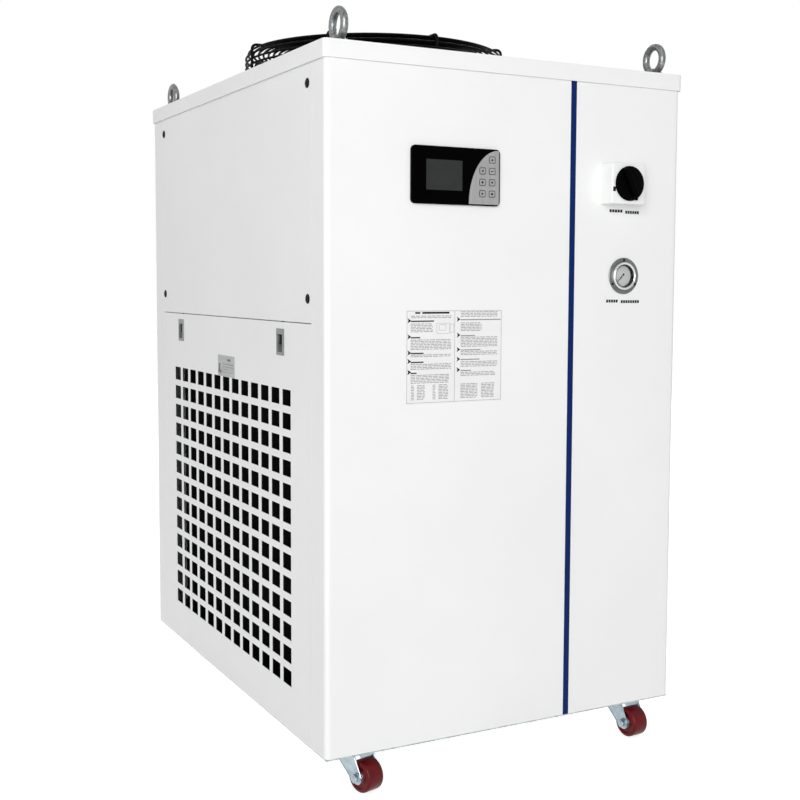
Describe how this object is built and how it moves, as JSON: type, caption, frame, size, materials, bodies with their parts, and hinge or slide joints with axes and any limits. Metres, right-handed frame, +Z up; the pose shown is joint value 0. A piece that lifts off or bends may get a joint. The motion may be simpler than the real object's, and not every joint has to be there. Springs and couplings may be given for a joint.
{
  "type": "recirculating chiller",
  "caption": "Floor-standing air-cooled recirculating chiller: sheet-metal cabinet on castors, with a punched side intake and a guarded fan on top.",
  "frame": {"origin": "on the floor under the middle of the cabinet", "axes": "+Z up, -Y towards the control face, +X to the right of someone facing the controls"},
  "size_m": [0.656, 0.954, 1.2135],
  "materials": {
    "white_paint": "smooth light grey-white powder coat",
    "blue_film": "satin dark blue film",
    "galvanised": "galvanised sheet",
    "black_wire": "gloss black coated wire",
    "black_metal": "black enamel",
    "zinc": "bright zinc plate",
    "wheel_red": "dark red polyurethane",
    "chrome_ring": "bright ring over a grey flange",
    "dial_white": "pale printed dial",
    "needle_black": "matt black",
    "clear_lens": "clear",
    "black_gloss": "gloss black moulding",
    "screen_grey": "dark grey window",
    "silver_foil": "silver membrane",
    "white_plastic": "white moulding",
    "latch_grey": "grey moulding",
    "latch_dark": "dark moulding",
    "finned_aluminium": "dense fins",
    "tank_plastic": "moulded tank",
    "pump_iron": "painted casting",
    "copper": "copper tube",
    "brass": "turned brass",
    "black_plastic": "black moulding"
  },
  "bodies": {
    "cabinet": {"base_pan": "galvanised", "corner_posts": "galvanised", "top_frame": "galvanised", "left_mid_rail": "galvanised", "right_mid_rail": "galvanised", "front_panel": "white_paint", "rear_panel": "white_paint", "left_upper_panel": "white_paint", "left_intake_panel": "white_paint", "right_side_panel": "white_paint", "top_cover": "white_paint", "blue_stripe": "blue_film", "latch_housings": "latch_grey", "controller_housing": "black_gloss", "display_window": "screen_grey", "key_field": "silver_foil", "switch_base": "white_plastic", "gauge_case": "chrome_ring", "gauge_dial": "dial_white", "gauge_lens": "clear_lens", "fan_guard": "black_wire", "fan_stator": "black_metal", "eye_bolts": "zinc", "castor_plates": "zinc", "condenser": "finned_aluminium", "compressor": "black_metal", "water_tank": "tank_plastic", "water_pump": "pump_iron", "electrical_box": "white_paint", "evaporator": "galvanised", "refrigerant_pipes": "copper", "water_pipes": "black_plastic", "water_ports": "brass", "cable_gland": "black_plastic"},
    "fan": {"fan_impeller": "black_metal"},
    "knob": {"switch_knob": "black_gloss"},
    "needle": {"gauge_needle": "needle_black"},
    "rear_latch": {"latch_slider_rear": "latch_dark"},
    "front_latch": {"latch_slider_front": "latch_dark"},
    "key_body_1": {"key_1": "silver_foil"},
    "key_body_2": {"key_2": "silver_foil"},
    "key_body_3": {"key_3": "silver_foil"},
    "key_body_4": {"key_4": "silver_foil"},
    "key_body_5": {"key_5": "silver_foil"},
    "key_body_6": {"key_6": "silver_foil"},
    "key_body_7": {"key_7": "silver_foil"},
    "fork_front_left": {"castor_fork_front_left": "zinc"},
    "wheel_front_left": {"castor_wheel_front_left": "wheel_red"},
    "fork_front_right": {"castor_fork_front_right": "zinc"},
    "wheel_front_right": {"castor_wheel_front_right": "wheel_red"},
    "fork_rear_left": {"castor_fork_rear_left": "zinc"},
    "wheel_rear_left": {"castor_wheel_rear_left": "wheel_red"},
    "fork_rear_right": {"castor_fork_rear_right": "zinc"},
    "wheel_rear_right": {"castor_wheel_rear_right": "wheel_red"}
  },
  "joints": [
    {"name": "fan_spin", "type": "hinge", "parent": "cabinet", "child": "fan", "pos_m": [0, 0.069, 1.12], "axis": [0, 0, 1], "continuous": true},
    {"name": "switch_turn", "type": "hinge", "parent": "cabinet", "child": "knob", "pos_m": [0.197, -0.467, 0.942], "axis": [0, 1, 0], "range_deg": [0, 90]},
    {"name": "needle_sweep", "type": "hinge", "parent": "cabinet", "child": "needle", "pos_m": [0.213, -0.432, 0.793], "axis": [0, 1, 0], "range_deg": [0, 270]},
    {"name": "rear_latch_slide", "type": "slide", "parent": "cabinet", "child": "rear_latch", "axis": [0, 0, -1], "range_m": [0, 0.011]},
    {"name": "front_latch_slide", "type": "slide", "parent": "cabinet", "child": "front_latch", "axis": [0, 0, -1], "range_m": [0, 0.011]},
    {"name": "key_1_press", "type": "slide", "parent": "cabinet", "child": "key_body_1", "axis": [0, 1, 0], "range_m": [0, 0.0008], "stiffness_N_per_m": 300},
    {"name": "key_2_press", "type": "slide", "parent": "cabinet", "child": "key_body_2", "axis": [0, 1, 0], "range_m": [0, 0.0008], "stiffness_N_per_m": 300},
    {"name": "key_3_press", "type": "slide", "parent": "cabinet", "child": "key_body_3", "axis": [0, 1, 0], "range_m": [0, 0.0008], "stiffness_N_per_m": 300},
    {"name": "key_4_press", "type": "slide", "parent": "cabinet", "child": "key_body_4", "axis": [0, 1, 0], "range_m": [0, 0.0008], "stiffness_N_per_m": 300},
    {"name": "key_5_press", "type": "slide", "parent": "cabinet", "child": "key_body_5", "axis": [0, 1, 0], "range_m": [0, 0.0008], "stiffness_N_per_m": 300},
    {"name": "key_6_press", "type": "slide", "parent": "cabinet", "child": "key_body_6", "axis": [0, 1, 0], "range_m": [0, 0.0008], "stiffness_N_per_m": 300},
    {"name": "key_7_press", "type": "slide", "parent": "cabinet", "child": "key_body_7", "axis": [0, 1, 0], "range_m": [0, 0.0008], "stiffness_N_per_m": 300},
    {"name": "swivel_front_left", "type": "hinge", "parent": "cabinet", "child": "fork_front_left", "pos_m": [-0.258, -0.385, 0.0605], "axis": [0, 0, 1], "continuous": true},
    {"name": "roll_front_left", "type": "hinge", "parent": "fork_front_left", "child": "wheel_front_left", "pos_m": [-0.24918, -0.4168, 0.025], "axis": [0.9636, 0.2672, 0], "continuous": true},
    {"name": "swivel_front_right", "type": "hinge", "parent": "cabinet", "child": "fork_front_right", "pos_m": [0.258, -0.385, 0.0605], "axis": [0, 0, 1], "continuous": true},
    {"name": "roll_front_right", "type": "hinge", "parent": "fork_front_right", "child": "wheel_front_right", "pos_m": [0.26059, -0.4179, 0.025], "axis": [0.9969, 0.0785, 0], "continuous": true},
    {"name": "swivel_rear_left", "type": "hinge", "parent": "cabinet", "child": "fork_rear_left", "pos_m": [-0.258, 0.385, 0.0605], "axis": [0, 0, 1], "continuous": true},
    {"name": "roll_rear_left", "type": "hinge", "parent": "fork_rear_left", "child": "wheel_rear_left", "pos_m": [-0.24251, 0.35586, 0.025], "axis": [0.8829, 0.4695, 0], "continuous": true},
    {"name": "swivel_rear_right", "type": "hinge", "parent": "cabinet", "child": "fork_rear_right", "pos_m": [0.258, 0.385, 0.0605], "axis": [0, 0, 1], "continuous": true},
    {"name": "roll_rear_right", "type": "hinge", "parent": "fork_rear_right", "child": "wheel_rear_right", "pos_m": [0.25341, 0.35232, 0.025], "axis": [0.9903, -0.1392, 0], "continuous": true}
  ]
}
